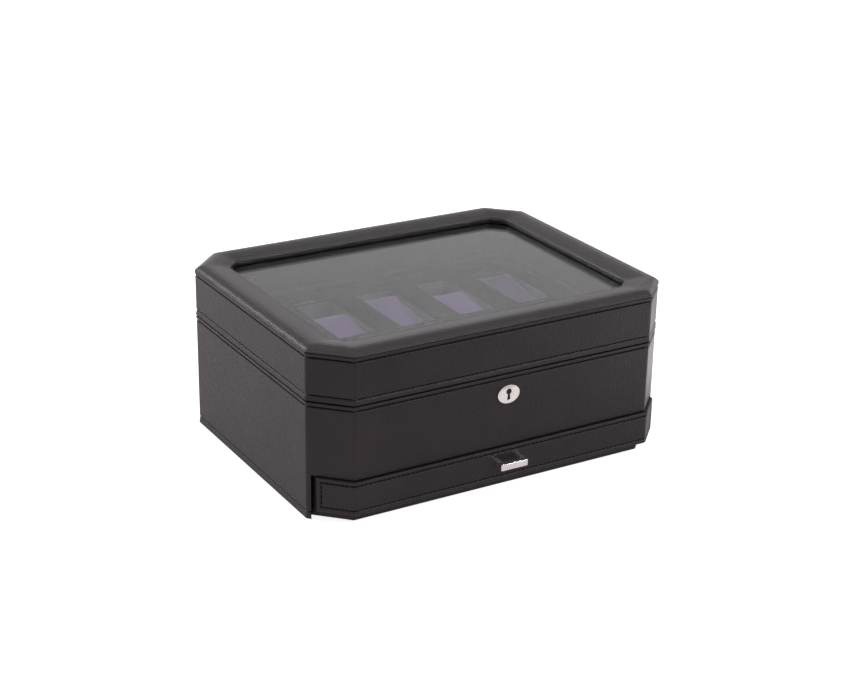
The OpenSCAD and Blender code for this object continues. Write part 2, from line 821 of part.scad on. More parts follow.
// Space between the drawer's walls from z0 to z1, inset by t
module drawer_room(t, z0, z1) {
    intersection() {
        board(room_in + t, z0, z1);
        block([-cell_x + t, -box_d, z0 - past], [cell_x - t, cell_y1 - t, z1 + past]);
    }
}

module drawer_bottom() {
    color("#3c3a3b") drawer_room(0, bottom_z, bottom_z + bottom_t);
}

// Dividers from front to back, between equal compartments
module drawer_dividers() {
    z0 = bottom_z + bottom_t + lining_t;
    color("#4a4250")
    for (x = divider_xs)
        block([x - divider_t / 2, front_y + room_in + lining_t, z0],
              [x + divider_t / 2, cell_y1 - lining_t, drawer_z1 - divider_drop]);
}

module drawer_lining() {
    z0 = bottom_z + bottom_t;
    color("#5d5269")
    difference() {
        drawer_room(0, z0, drawer_z1 - lining_drop);
        drawer_room(lining_t, z0 + lining_t, drawer_z1 + past);
    }
}

// Holes for the pull's screws, their heads sunk in the back of the drawer front
module pull_holes() {
    for (s = [-1, 1])
        translate([s * pull_screw_x, front_y + room_in, pull_z]) rotate([90, 0, 0]) {
            translate([0, 0, -past]) {
                cylinder(h = room_in + front_out + 2 * past, r = pull_screw_r + skin_gap, $fn = 32);
                cylinder(h = pull_head_t + past + skin_gap, r = pull_head_r + skin_gap, $fn = 32);
            }
        }
}

// U-shaped pull with rounded corners
module drawer_pull() {
    bar_y = pull_y - pull_out;
    color("#d8d6d0")
    difference() {
        translate([0, 0, pull_z - pull_h / 2]) linear_extrude(pull_h)
            difference() {
                union() {
                    translate([-pull_w / 2, bar_y + pull_r]) square([pull_w, pull_out - pull_r]);
                    translate([-pull_w / 2 + pull_r, bar_y]) square([pull_w - 2 * pull_r, pull_out]);
                    for (s = [-1, 1])
                        translate([s * (pull_w / 2 - pull_r), bar_y + pull_r]) circle(pull_r, $fn = 48);
                }
                translate([-pull_w / 2 + pull_t, bar_y + pull_t]) square([pull_w - 2 * pull_t, pull_out]);
            }
        for (s = [-1, 1])
            translate([s * pull_screw_x, pull_y + past, pull_z]) rotate([90, 0, 0])
                cylinder(h = pull_out - pull_t + past, r = pull_screw_r + pin_gap, $fn = 32);
    }
}

module pull_screws() {
    color("#b8b4a8")
    for (s = [-1, 1])
        translate([s * pull_screw_x, front_y + room_in, pull_z]) rotate([90, 0, 0]) {
            translate([0, 0, skin_gap]) {
                cylinder(h = pull_head_t, r = pull_head_r, $fn = 32);
                cylinder(h = front_y + room_in - pull_y + pull_screw_in, r = pull_screw_r, $fn = 32);
            }
        }
}

// ---- Nodes -----------------------------------------------------------------------------

case_walls();
base_board();
base_felt();
drawer_deck();
case_leather();
tray_frame();
tray_rail();
tray_partitions();
tray_cover();
well_liners();
key_plate();
lock_case();
lock_bolt();
hinge_case_leaves();
hinge_pins();
hinge_case_screws();
lid_frame();
lid_leather();
lid_bezel();
lid_glass();
glass_strip();
lid_lining();
lock_link_plate();
hinge_lid_leaves();
hinge_lid_screws();
drawer_front();
drawer_front_leather();
drawer_side_left();
drawer_side_right();
drawer_back();
drawer_bottom();
drawer_dividers();
drawer_lining();
drawer_pull();
pull_screws();
for (r = [0:1], i = [0:columns - 1])
    placed_cushion(r, i);
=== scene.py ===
"""Watch box: the looks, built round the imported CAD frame. Lengths are in millimetres until a mesh is made."""

import math
import random

import bmesh
import bpy
from mathutils import Matrix, Vector


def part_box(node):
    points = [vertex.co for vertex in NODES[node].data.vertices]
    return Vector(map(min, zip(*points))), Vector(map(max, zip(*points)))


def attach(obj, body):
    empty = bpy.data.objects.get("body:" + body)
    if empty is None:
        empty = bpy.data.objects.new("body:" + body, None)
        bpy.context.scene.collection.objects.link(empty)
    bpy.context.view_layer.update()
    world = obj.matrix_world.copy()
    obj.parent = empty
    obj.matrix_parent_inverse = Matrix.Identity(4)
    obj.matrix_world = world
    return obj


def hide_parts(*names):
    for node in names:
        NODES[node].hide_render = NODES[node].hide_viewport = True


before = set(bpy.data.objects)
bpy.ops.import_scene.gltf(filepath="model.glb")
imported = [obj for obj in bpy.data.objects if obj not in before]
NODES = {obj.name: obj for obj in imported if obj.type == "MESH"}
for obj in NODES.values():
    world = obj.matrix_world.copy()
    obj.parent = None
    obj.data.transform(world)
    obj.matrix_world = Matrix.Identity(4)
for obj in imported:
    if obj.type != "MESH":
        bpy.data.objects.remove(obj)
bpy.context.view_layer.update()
MM = 0.001


# ---- Sizes from the frame ---------------------------------------------------------------

def low(node):
    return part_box(node)[0] / MM


def high(node):
    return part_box(node)[1] / MM


HALF_W = high("lid_bezel").x                    # half the width of the box
HALF_D = high("lid_bezel").y                    # half the depth
# leg of the clipped corners
CUT = HALF_W + HALF_D - max((v.co.x + v.co.y) / MM for v in NODES["lid_bezel"].data.vertices)
CORNER_R = 2.5                                  # rounding of the upright edges
BEAD = high("lid_leather").x - HALF_W           # how far a turned edge stands out
LEATHER = 1.0                                   # thickness of the leather
RIM_Z = high("case_leather").z
LID_Z = low("lid_leather").z
SEAM_Z = high("lid_leather").z
CREST_Z = high("lid_bezel").z
GLASS_Z = high("lid_glass").z
DECK_Z = low("drawer_deck").z
COVER_Z = high("tray_cover").z
ROOM_IN = HALF_W - high("lid_lining").x         # inset of the boards' inner faces
LINED_IN = ROOM_IN + LEATHER
FRAME_W = 23.5                                  # width of the padded frame
CREST_AT = 0.38                                 # place of the crest across the padded frame
LIP_R = 1.0                                     # rounding at the opening
LIP_RISE = 1.9                                  # height of the padding at the opening
OPENING_R = 8.0                                 # rounding of the opening's corners
SEAM_IN = 3.4                                   # seam to edge on the drawer front, the rim and the lid's top
LID_HEM = 4.7                                   # seam to the lower edge of the lid
FOOT_HEM = 6.4                                  # seam to the foot of the case
PITCH = 3.6                                     # stitch length
GROOVE = 0.7                                    # depth of the seam groove
JOINT = 0.3                                     # how far the lid's skin stays back at its lower edge
FRONT_OUT = -HALF_D - low("drawer_front_leather").y     # how far the drawer front stands out
FRONT_X = high("drawer_front_leather").x        # half its width
FRONT_Z0 = low("drawer_front_leather").z + 0.8  # the skin ends this far over the board's lower edge
FRONT_Z1 = high("drawer_front_leather").z
WING_Y = -HALF_D + CUT + 3                      # where the case begins behind the drawer front's wings
FOOT_Z = 0.9                                    # lower edge of the case's skin
HALF_TURN = math.radians(22.5)                  # half the turn at a clipped corner
SEAM_PUCKER = 0.1                               # pucker from which a groove gets the darker seam leather: painted shade in the groove


# ---- Camera -----------------------------------------------------------------------------

def make_camera():
    """Camera fitted to the photo."""
    azimuth, elevation, roll = (math.radians(a) for a in (-30.80, 22.06, 1.0))
    distance, focal_px = 1321.99, 1794.7
    frame_w_px = 848
    right_px, down_px = 0.89, 14.52             # where the target stands off the picture's centre
    target = Vector((0, 0, 60))
    back = Vector((math.sin(azimuth) * math.cos(elevation), -math.cos(azimuth) * math.cos(elevation),
                   math.sin(elevation)))
    right = (-back).cross(Vector((0, 0, 1))).normalized()
    up = right.cross(-back)
    right, up = (math.cos(roll) * right + math.sin(roll) * up, -math.sin(roll) * right + math.cos(roll) * up)
    place = target + back * distance + (up * down_px - right * right_px) * distance / focal_px
    data = bpy.data.cameras.new("camera")
    data.sensor_width = 36
    data.lens = focal_px / frame_w_px * data.sensor_width
    data.clip_start, data.clip_end = 0.05, 20
    camera = new_object("camera", data)
    camera.matrix_world = Matrix((
        (right.x, up.x, back.x, place.x * MM),
        (right.y, up.y, back.y, place.y * MM),
        (right.z, up.z, back.z, place.z * MM),
        (0, 0, 0, 1)))
    bpy.context.scene.camera = camera


# ---- Materials --------------------------------------------------------------------------

class Graph:
    """Short calls for the nodes of a material or of the world."""

    def __init__(self, tree):
        self.nodes, self.links = tree.nodes, tree.links

    def node(self, kind, values=None, **settings):
        made = self.nodes.new("ShaderNode" + kind)
        for key, value in settings.items():
            setattr(made, key, value)
        for key, value in (values or {}).items():
            if hasattr(value, "is_output"):
                self.links.new(value, made.inputs[key])
            else:
                made.inputs[key].default_value = value
        return made

    def span(self, fac, low_value, high_value, low_in=0.3, high_in=0.7, kind="LINEAR"):
        made = self.node("MapRange", {"Value": fac, "From Min": low_in, "From Max": high_in,
                                      "To Min": low_value, "To Max": high_value}, interpolation_type=kind)
        return made.outputs["Result"]

    def blend(self, fac, a, b):
        """Colour between a and b; b may be the output of another node."""
        b = b if hasattr(b, "is_output") else (*b, 1)
        return self.node("Mix", {0: fac, 6: (*a, 1), 7: b}, data_type="RGBA").outputs[2]

    def sum(self, a, b, factor=1.0):
        return self.node("Math", {0: b, 1: factor, 2: a}, operation="MULTIPLY_ADD").outputs[0]

    def mix(self, fac, a, b):
        return self.node("MixShader", {0: fac, 1: a, 2: b}).outputs[0]


class Shader(Graph):
    """A material with a Principled shader."""

    def __init__(self, name, **values):
        self.material = bpy.data.materials.new(name)
        self.material.use_nodes = True
        super().__init__(self.material.node_tree)
        self.main = self.nodes["Principled BSDF"]
        for key, value in values.items():
            self.main.inputs[key.replace("_", " ")].default_value = value
        self.place = self.node("TexCoord").outputs["Object"]

    def noise(self, per_m, detail=4, rough=0.5):
        return self.node("TexNoise", {"Vector": self.place, "Scale": per_m, "Detail": detail,
                                      "Roughness": rough}).outputs["Fac"]

    def cells(self, per_m, smooth):
        return self.node("TexVoronoi", {"Vector": self.place, "Scale": per_m, "Smoothness": smooth},
                         feature="SMOOTH_F1").outputs["Distance"]

    def bump(self, height, strength, depth_mm):
        made = self.node("Bump", {"Height": height, "Strength": strength, "Distance": depth_mm * MM})
        self.links.new(made.outputs["Normal"], self.main.inputs["Normal"])

    def set(self, key, output):
        self.links.new(output, self.main.inputs[key])

    def show(self, output):
        self.links.new(output, self.nodes["Material Output"].inputs["Surface"])


def leather(name, dark, light, rough=(0.32, 0.44), grain=1.0, shine=0.38):
    """Pebble-grained leather: fine cells with soft creases between them, and a slow drift in tone."""
    s = Shader(name, Specular_IOR_Level=shine)
    pebbles = s.cells(1000, 0.5)
    creases = s.noise(520, 3)
    height = s.sum(s.sum(pebbles, creases, 0.9), s.noise(2600, 2), 0.3)
    s.bump(height, 0.6 * grain, 0.35)
    s.set("Base Color", s.blend(s.span(s.noise(38, 3), 0, 1, 0.35, 0.65), dark, light))
    s.set("Roughness", s.span(s.sum(creases, pebbles, 0.4), *rough, 0.3, 0.9))
    return s.material


def suede(name, dark, light):
    """Short nap: soft sheen, cloudy brushing marks and a fine fibre bump."""
    s = Shader(name, Roughness=0.95, Specular_IOR_Level=0.2, Sheen_Weight=0.5, Sheen_Roughness=0.45)
    brushed = s.sum(s.noise(70, 5, 0.6), s.noise(1350, 2), 0.35)
    s.set("Base Color", s.blend(s.span(brushed, 0, 1, 0.45, 0.9), dark, light))
    s.bump(s.noise(1800, 3), 0.4, 0.2)
    return s.material


def lining_paper(name, dark, light):
    """Smooth dark lining with a faint weave."""
    s = Shader(name, Specular_IOR_Level=0.35)
    s.set("Base Color", s.blend(s.span(s.noise(60, 4), 0, 1), dark, light))
    s.set("Roughness", s.span(s.noise(300, 3), 0.5, 0.7))
    s.bump(s.noise(1800, 2), 0.3, 0.12)
    return s.material


def polished(name, colour, rough):
    """Plated metal with faint rubbing marks."""
    s = Shader(name, Metallic=1.0)
    s.set("Base Color", s.blend(s.span(s.noise(120, 3), 0, 1), colour, tuple(c * 0.92 for c in colour)))
    s.set("Roughness", s.span(s.noise(260, 4), *rough))
    s.bump(s.noise(90, 2), 0.05, 0.1)
    return s.material


def felt(name):
    """Dull black pressed fibre."""
    s = Shader(name, Roughness=1.0, Specular_IOR_Level=0.15, Sheen_Weight=0.35, Sheen_Roughness=0.5)
    s.set("Base Color", s.blend(s.span(s.noise(900, 4), 0, 1), (0.010, 0.010, 0.011), (0.028, 0.027, 0.028)))
    s.bump(s.noise(2500, 3), 0.6, 0.25)
    return s.material


def thread(name):
    """Black sewing thread."""
    s = Shader(name, Roughness=0.8, Specular_IOR_Level=0.12)
    s.set("Base Color", s.blend(s.span(s.noise(1500, 2), 0, 1), (0.002, 0.002, 0.002), (0.007, 0.006, 0.006)))
    s.bump(s.noise(4000, 2), 0.5, 0.1)
    return s.material


def clear_glass(name):
    """Window glass; shadow rays pass straight through it."""
    s = Shader(name, Roughness=0.0, IOR=1.46, Transmission_Weight=1.0)
    s.set("Base Color", s.blend(s.span(s.noise(3, 1), 0, 1), (0.90, 0.93, 0.915), (0.92, 0.95, 0.935)))
    through = s.node("BsdfTransparent", {"Color": (0.9, 0.93, 0.915, 1)}).outputs[0]
    s.show(s.mix(s.node("LightPath").outputs["Is Shadow Ray"], s.main.outputs[0], through))
    return s.material


BLACK = leather("black_leather", (0.0105, 0.0058, 0.0075), (0.0145, 0.0085, 0.0108))
BEZEL = leather("bezel_leather", (0.0075, 0.0062, 0.0070), (0.0105, 0.0090, 0.0098), (0.26, 0.34), 1.0, 0.75)
TRAY = leather("tray_leather", (0.0045, 0.0053, 0.0042), (0.0070, 0.0080, 0.0066), (0.20, 0.28), 0.2, 0.3)
PURPLE = suede("purple_suede", (0.100, 0.048, 0.150), (0.145, 0.075, 0.208))
WELL = suede("well_suede", (0.075, 0.060, 0.098), (0.115, 0.092, 0.145))
LINING = lining_paper("dark_lining", (0.0070, 0.0070, 0.0072), (0.012, 0.0115, 0.012))
NICKEL = polished("nickel", (0.95, 0.925, 0.895), (0.16, 0.26))
BRASS = polished("brass", (0.68, 0.52, 0.26), (0.25, 0.4))
STEEL = polished("steel", (0.50, 0.50, 0.50), (0.25, 0.4))
FELT_MAT = felt("black_felt")
THREAD = thread("black_thread")
# darker, rougher leather laid on the seam grooves: painted shade where the groove lies in shadow
SEAM_SHADE = leather("seam_shade_leather", (0.0030, 0.0022, 0.0024), (0.0050, 0.0036, 0.0040), (0.55, 0.65), 0.4)
GLASS = clear_glass("clear_glass")

NODE_MATERIALS = {
    "case_walls": LINING, "base_board": BLACK, "base_felt": FELT_MAT, "drawer_deck": LINING,
    "tray_frame": LINING, "tray_rail": LINING, "tray_partitions": LINING, "well_liners": WELL,
    "lock_case": BRASS, "lock_bolt": STEEL, "hinge_case_leaves": NICKEL, "hinge_pins": STEEL,
    "hinge_case_screws": NICKEL, "lid_frame": LINING, "lid_glass": GLASS, "glass_strip": LINING,
    "lid_lining": LINING, "lock_link_plate": BRASS, "hinge_lid_leaves": NICKEL, "hinge_lid_screws": NICKEL,
    "drawer_front": BLACK, "drawer_side_left": LINING, "drawer_side_right": LINING, "drawer_back": LINING,
    "drawer_bottom": LINING, "drawer_dividers": PURPLE, "drawer_lining": PURPLE, "pull_screws": STEEL,
}


def paint_nodes():
    for name, material in NODE_MATERIALS.items():
        data = NODES[name].data
        data.materials.clear()
        data.materials.append(material)


# ---- Mesh helpers -----------------------------------------------------------------------

def new_object(name, data):
    obj = bpy.data.objects.new(name, data)
    bpy.context.scene.collection.objects.link(obj)
    return obj


def mesh_piece(name, points, faces, material, body, smooth_angle):
    """Object from points in millimetres, riding on a body."""
    data = bpy.data.meshes.new(name)
    data.from_pydata([Vector(p) * MM for p in points], [], faces)
    data.validate()
    data.materials.append(material)
    obj = new_object(name, data)
    outward(obj)
    smooth(obj, smooth_angle)
    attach(obj, body)
    return obj


def outward(obj, weld_mm=None):
    """Turns the faces outward, after welding points closer than weld_mm."""
    work = bmesh.new()
    work.from_mesh(obj.data)
    if weld_mm:
        bmesh.ops.remove_doubles(work, verts=work.verts, dist=weld_mm * MM)
    bmesh.ops.recalc_face_normals(work, faces=work.faces)
    work.to_mesh(obj.data)
    work.free()


def smooth(obj, angle):
    obj.data.polygons.foreach_set("use_smooth", [True] * len(obj.data.polygons))
    obj.data.set_sharp_from_angle(angle=math.radians(angle))


def evaluated(obj):
    """New mesh of the object with its modifiers or its curve settings applied."""
    graph = bpy.context.evaluated_depsgraph_get()
    return bpy.data.meshes.new_from_object(obj.evaluated_get(graph))


def apply_modifiers(obj):
    data = evaluated(obj)
    obj.modifiers.clear()
    obj.data = data


def grid_faces(rows, columns, close_rows=False, close_columns=False):
    """Quads between the points of a grid, which may close on itself either way."""
    return [(r * columns + c, r * columns + (c + 1) % columns,
             (r + 1) % rows * columns + (c + 1) % columns, (r + 1) % rows * columns + c)
            for r in range(rows if close_rows else rows - 1)
            for c in range(columns if close_columns else columns - 1)]


def corner(k, inset):
    """Sharp corner k of the clipped outline, inset; k counts round from the right side."""
    x, y = HALF_W - inset, HALF_D - inset
    leg = CUT - inset * (2 - math.sqrt(2))
    sx = 1 if k // 2 in (0, 3) else -1
    sy = 1 if k < 4 else -1
    return (sx * x, sy * (y - leg)) if k % 4 in (0, 3) else (sx * (x - leg), sy * y)


def outline(inset, step=PITCH / 2, arc=5, r=None):
    """Points round the box: (x, y, outward angle, place along the run in steps)."""
    points = []
    r = r or max(CORNER_R - inset, 0.25)
    for k in range(8):
        cx, cy = arc_centre(k, inset, r)
        for j in range(arc + 1):
            a = math.radians(45 * k + 45 * j / arc)
            points.append((cx + r * math.cos(a), cy + r * math.sin(a), a, 0))
        # straight run to the next corner
        a = math.radians(45 * k + 45)
        nx, ny = arc_centre(k + 1, inset, r)
        ex, ey = nx + r * math.cos(a), ny + r * math.sin(a)
        sx, sy = points[-1][:2]
        steps = run_steps(k, step)
        for j in range(1, steps):
            f = j / steps
            points.append((sx + (ex - sx) * f, sy + (ey - sy) * f, a, j))
    return points


def arc_centre(k, inset, r):
    """Centre of the rounding r of corner k."""
    x, y = corner(k % 8, inset)
    mid = math.radians(45 * k + 22.5)
    reach = r / math.cos(HALF_TURN)
    return x - reach * math.cos(mid), y - reach * math.sin(mid)


def run_steps(k, step):
    """Even number of steps on the straight run after corner k."""
    a, b = corner(k, 0), corner((k + 1) % 8, 0)
    length = math.dist(a, b) - 2 * CORNER_R * math.tan(HALF_TURN)
    return max(2, 2 * round(length / step / 2))


def carried_round(name, profile, material, body, smooth_angle=50):
    """Closed profile of (inset, z, pucker) points carried round the box; pucker deepens every other step.
    A fourth number in a point is the corner rounding there."""
    points = []
    for inset, z, pucker, *r in profile:
        ring = outline(inset, r=r[0] if r else None)
        points += [(x - pucker * (j % 2) * math.cos(a), y - pucker * (j % 2) * math.sin(a), z)
                   for x, y, a, j in ring]
    around = len(ring)
    faces = grid_faces(len(profile), around, True, True)
    piece = mesh_piece(name, points, faces, material, body, smooth_angle)
    # faces deep in the seam groove get the painted groove shade
    deep = [point[2] > SEAM_PUCKER for point in profile]
    darken(piece, [deep[i] and deep[(i + 1) % len(deep)] for i in range(len(deep)) for _ in range(around)])
    return piece


def darken(piece, flags):
    """Gives the flagged faces of a piece the darker seam leather: painted shade in the seam groove."""
    if any(flags):
        piece.data.materials.append(SEAM_SHADE)
        for face, flag in zip(piece.data.polygons, flags):
            face.material_index = int(flag)


# Depth behind the bead, at a distance from the edge; then the seam groove at distances from the seam
ROLL = [(1.35, 0.0), (0.8, 0.05), (0.35, 0.2), (0.1, 0.45), (0.0, 0.85)]
VALLEY = [(0.62, -0.75), (0.72, -0.5), (0.9, -0.26), (1.0, -0.1), (1.0, 0.1), (0.85, 0.26), (0.5, 0.5),
          (0.42, 0.85), (0.44, 1.6), (0.45, 2.8)]
PUCKER = [0.05, 0.12, 0.16, 0.18, 0.18, 0.16, 0.12, 0.06, 0, 0]


def edge_rows(seam):
    """Section over a turned edge as (depth behind the bead, distance from the edge, pucker)."""
    groove = [(BEAD * d / 0.45 if d < 0.5 else BEAD + (d - 0.45) * GROOVE / 0.55, seam + t, p)
              for (d, t), p in zip(VALLEY, PUCKER)]
    return [(d, t, 0) for d, t in ROLL] + groove


def turned_edge(z, up, seam=SEAM_IN):
    """Turned, stitched edge from z over the bead and the seam groove to the plain panel."""
    return [(depth - BEAD, z + up * d, pucker) for depth, d, pucker in edge_rows(seam)]


def stitch_points(centre, along, out):
    """Rings of one stitch: a short round-ended thread lying along a direction."""
    length, radius, droop = 2.9, 0.46, 0.28
    side = along.cross(out).normalized()
    rings = []
    for f, r in THREAD_FORM:
        sink = -droop * (2 * f) ** 2
        for q in range(THREAD_SIDES):
            a = math.radians(360 / THREAD_SIDES * q)
            rings.append(centre + along * (length * f) + out * (radius * r * math.cos(a) + sink)
                         + side * (radius * r * math.sin(a)))
    return rings


SINK = GROOVE - 0.3                             # depth of the threads below the panel
THREAD_SIDES = 6
# Place along a stitch and share of its full radius
THREAD_FORM = [(-0.5, 0.35), (-0.42, 0.8), (-0.2, 1.0), (0.2, 1.0), (0.42, 0.8), (0.5, 0.35)]


def stitches(name, places, body):
    """All stitches of a row or several rows as one piece."""
    points, faces = [], []
    rings, sides = len(THREAD_FORM), THREAD_SIDES
    for centre, along, out in places:
        base = len(points)
        points += stitch_points(Vector(centre), Vector(along), Vector(out))
        faces += [tuple(base + i for i in f) for f in grid_faces(rings, sides, False, True)]
        faces.append(tuple(base + i for i in range(sides - 1, -1, -1)))
        faces.append(tuple(base + (rings - 1) * sides + i for i in range(sides)))
    return mesh_piece(name, points, faces, THREAD, body, 60)


def stitch_row(z, skip=lambda x, y: False):
    """Places of the stitches of one level row round the box."""
    places = []
    trim = CORNER_R * math.tan(HALF_TURN)
    for k in range(8):
        a = math.radians(45 * k + 45)
        out = (math.cos(a), math.sin(a), 0)
        along = (-math.sin(a), math.cos(a), 0)
        p, q = Vector(corner(k, 0)), Vector(corner((k + 1) % 8, 0))
        d = (q - p).normalized()
        p, q = p + d * trim, q - d * trim
        steps = run_steps(k, PITCH / 2)
        for j in range(2, steps, 2):
            c = p.lerp(q, j / steps)
            if not skip(c.x, c.y):
                places.append(((c.x - out[0] * SINK, c.y - out[1] * SINK, z), along, out))
    return places


# ---- Leather ----------------------------------------------------------------------------

def lid_leather():
    edge = LID_Z + JOINT
    profile = ([(ROOM_IN, LID_Z, 0), (1.8, LID_Z, 0), (1.6, edge, 0)] + turned_edge(edge, 1, LID_HEM - JOINT)
               + turned_edge(SEAM_Z, -1)[::-1]
               + [(LEATHER, SEAM_Z, 0), (LEATHER, edge + LEATHER, 0), (ROOM_IN, edge + LEATHER, 0)])
    skin = carried_round("lid_skin", profile, BLACK, "lid")
    cut_boxes(skin, lock_recess(LID_Z, 1) + hinge_recesses(LID_Z, 1))
    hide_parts("lid_leather")
    rows = stitch_row(LID_Z + LID_HEM) + stitch_row(SEAM_Z - SEAM_IN)
    stitches("lid_stitches", rows, "lid")


def case_leather():
    hem = ROOM_IN - 2.4
    outside = ([(hem, FOOT_Z, 0), (4, FOOT_Z, 0)] + turned_edge(FOOT_Z, 1, FOOT_HEM - FOOT_Z)
               + turned_edge(RIM_Z, -1)[::-1])
    rim = [(4, RIM_Z, 0), (LINED_IN - 1.3, RIM_Z, 0), (LINED_IN - 0.5, RIM_Z - 0.2, 0),
           (LINED_IN - 0.12, RIM_Z - 0.6, 0), (LINED_IN, RIM_Z - 1.3, 0)]
    inside = [(LINED_IN, COVER_Z + 0.3, 0), (ROOM_IN, COVER_Z + 0.3, 0), (ROOM_IN, RIM_Z - LEATHER, 0),
              (LEATHER, RIM_Z - LEATHER, 0), (LEATHER, FOOT_Z + LEATHER, 0), (hem, FOOT_Z + LEATHER, 0)]
    skin = carried_round("case_skin", outside + rim + inside, BLACK, "case")
    mouth_x = FRONT_X + 1.4
    mouth = ((-mouth_x, -HALF_D - 20, -5), (mouth_x, WING_Y, DECK_Z))
    cut_boxes(skin, [mouth] + lock_recess(RIM_Z, -1) + hinge_recesses(RIM_Z, -1))
    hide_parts("case_leather")
    rows = stitch_row(RIM_Z - SEAM_IN) + stitch_row(FOOT_HEM, lambda x, y: y < WING_Y)
    stitches("case_stitches", rows, "case")


RECESS_GAP = 0.1                                # play round a fitting in the leather


def recess_heights(z, up):
    """Heights of a cut through the leather whose face is at z, looking up or down."""
    return sorted((z - up, z + up * 1.25))


def lock_recess(z, up):
    lo, hi = low("lock_link_plate"), high("lock_link_plate")
    z0, z1 = recess_heights(z, up)
    return [((lo.x - RECESS_GAP, lo.y - RECESS_GAP, z0), (hi.x + RECESS_GAP, hi.y + RECESS_GAP, z1))]


def hinge_recesses(z, up):
    lo, hi = low("hinge_lid_leaves"), high("hinge_lid_leaves")
    length = 36
    z0, z1 = recess_heights(z, up)
    return [((x - RECESS_GAP, lo.y - RECESS_GAP, z0), (x + length + RECESS_GAP, hi.y + 5, z1))
            for x in (lo.x, hi.x - length)]


def cut_boxes(obj, boxes):
    """Cuts boxes, given by two corners in millimetres, out of a piece."""
    tools = []
    for lo, hi in boxes:
        size = Vector(hi) - Vector(lo)
        bpy.ops.mesh.primitive_cube_add(size=1, location=(Vector(lo) + size / 2) * MM, scale=size * MM)
        tools.append(bpy.context.object)
        cut = obj.modifiers.new("cut", "BOOLEAN")
        cut.operation = "DIFFERENCE"
        cut.solver = "EXACT"
        cut.object = tools[-1]
    apply_modifiers(obj)
    for tool in tools:
        bpy.data.objects.remove(tool)
    smooth(obj, 50)


def crown(u):
    """Height of the padding at u, from 0 at the outer edge to 1 at the opening, with a slight ridge there."""
    height = CREST_Z - SEAM_Z
    if u < CREST_AT:
        return height * (1 - (1 - u / CREST_AT) ** 3) ** 0.75
    ridge = 0.2 * math.exp(-((u - 0.955) / 0.022) ** 2)
    return height + ridge - (height - LIP_RISE) * ((u - CREST_AT) / (1 - CREST_AT)) ** 1.4


def bezel_top():
    """Upper side of the padding, from its sewn edge over the crest and round the lip of the opening."""
    steps, lip_angle = 28, 66
    last = 1 - LIP_R * (1 - math.cos(math.radians(lip_angle))) / FRAME_W
    lip_z = SEAM_Z + crown(last) - LIP_R * math.sin(math.radians(lip_angle))
    edge = [(0.9, 0.06), (0.2, 0.1), (-0.1, 0.3), (-0.2, 0.6), (-0.1, 0.85), (0.2, 1.0)]
    top = [(inset, SEAM_Z + up, 0) for inset, up in edge]
    for i in range(steps):
        u = last * (1 - math.cos(math.pi * i / steps)) / 2
        if crown(u) > edge[-1][1] + 0.15:
            top.append((FRAME_W * u, SEAM_Z + crown(u), 0, CORNER_R + (OPENING_R - CORNER_R) * u))
    for degrees in range(lip_angle, -1, -11):
        a = math.radians(degrees)
        top.append((FRAME_W - LIP_R * (1 - math.cos(a)), lip_z + LIP_R * math.sin(a), 0, OPENING_R))
    return top


def lid_bezel():
    inner_z, under_z = GLASS_Z + 0.3, SEAM_Z + 0.02
    profile = bezel_top() + [(FRAME_W, inner_z + 0.3, 0, OPENING_R), (FRAME_W - 0.3, inner_z, 0, OPENING_R),
                             (FRAME_W - LEATHER, inner_z, 0), (FRAME_W - LEATHER, under_z, 0),
                             (FRAME_W / 2, under_z, 0)]
    pad = carried_round("bezel_pad", profile, BEZEL, "lid", 60)
    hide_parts("lid_bezel")


def front_path():
    """Path of the drawer front's outer face in plan, as (x, y, outward angle) every half stitch."""
    r = CORNER_R + FRONT_OUT
    left, right = corner(5, -FRONT_OUT), corner(6, -FRONT_OUT)
    end_y = left[1] + (FRONT_X + left[0])
    ends = [Vector(p) for p in ((-FRONT_X, end_y), left, right, (FRONT_X, end_y))]
    trim = r * math.tan(HALF_TURN)
    path = []
    for i, degrees in enumerate((225, 270, 315)):
        p, q = ends[i], ends[i + 1]
        d = (q - p).normalized()
        if i > 0:
            p = p + d * trim
        if i < 2:
            q = q - d * trim
        steps = 2 * round((q - p).length / PITCH)
        for j in range(steps + 1):
            c = p.lerp(q, j / steps)
            path.append((c.x, c.y, math.radians(degrees)))
        if i < 2:
            mid = math.radians(degrees + 22.5)
            centre = ends[i + 1] - Vector((math.cos(mid), math.sin(mid))) * (r / math.cos(HALF_TURN))
            for j in range(1, 5):
                a = math.radians(degrees + 9 * j)
                path.append((centre.x + r * math.cos(a), centre.y + r * math.sin(a), a))
    return path


def distances(path):
    """Distance along a path of each of its points."""
    along = [0.0]
    for p, q in zip(path, path[1:]):
        along.append(along[-1] + math.dist(p[:2], q[:2]))
    return along


def relief(d):
    """How far the drawer leather lies behind its bead, at distance d from the nearest edge."""
    rows = [(t, depth) for depth, t, _ in edge_rows(SEAM_IN)]
    for (d0, h0), (d1, h1) in zip(rows, rows[1:]):
        if d <= d1:
            return h0 + (h1 - h0) * (d - d0) / (d1 - d0)
    return rows[-1][1]


EDGE_ROWS = [t for _, t, _ in edge_rows(SEAM_IN)]
FRONT_PATH = front_path()
FRONT_AT = distances(FRONT_PATH)
FRONT_LENGTH = FRONT_AT[-1]


def front_point(s):
    """Point and outward angle of the drawer front's face at distance s along it."""
    i = next((i for i, end in enumerate(FRONT_AT[1:]) if s <= end), len(FRONT_PATH) - 2)
    f = (s - FRONT_AT[i]) / max(FRONT_AT[i + 1] - FRONT_AT[i], 1e-9)
    return [a + (b - a) * f for a, b in zip(FRONT_PATH[i], FRONT_PATH[i + 1])]


def front_depth(s, z):
    """Depth of the drawer leather behind its bead at distance s and height z."""
    return relief(min(z - FRONT_Z0, FRONT_Z1 - z, s, FRONT_LENGTH - s))


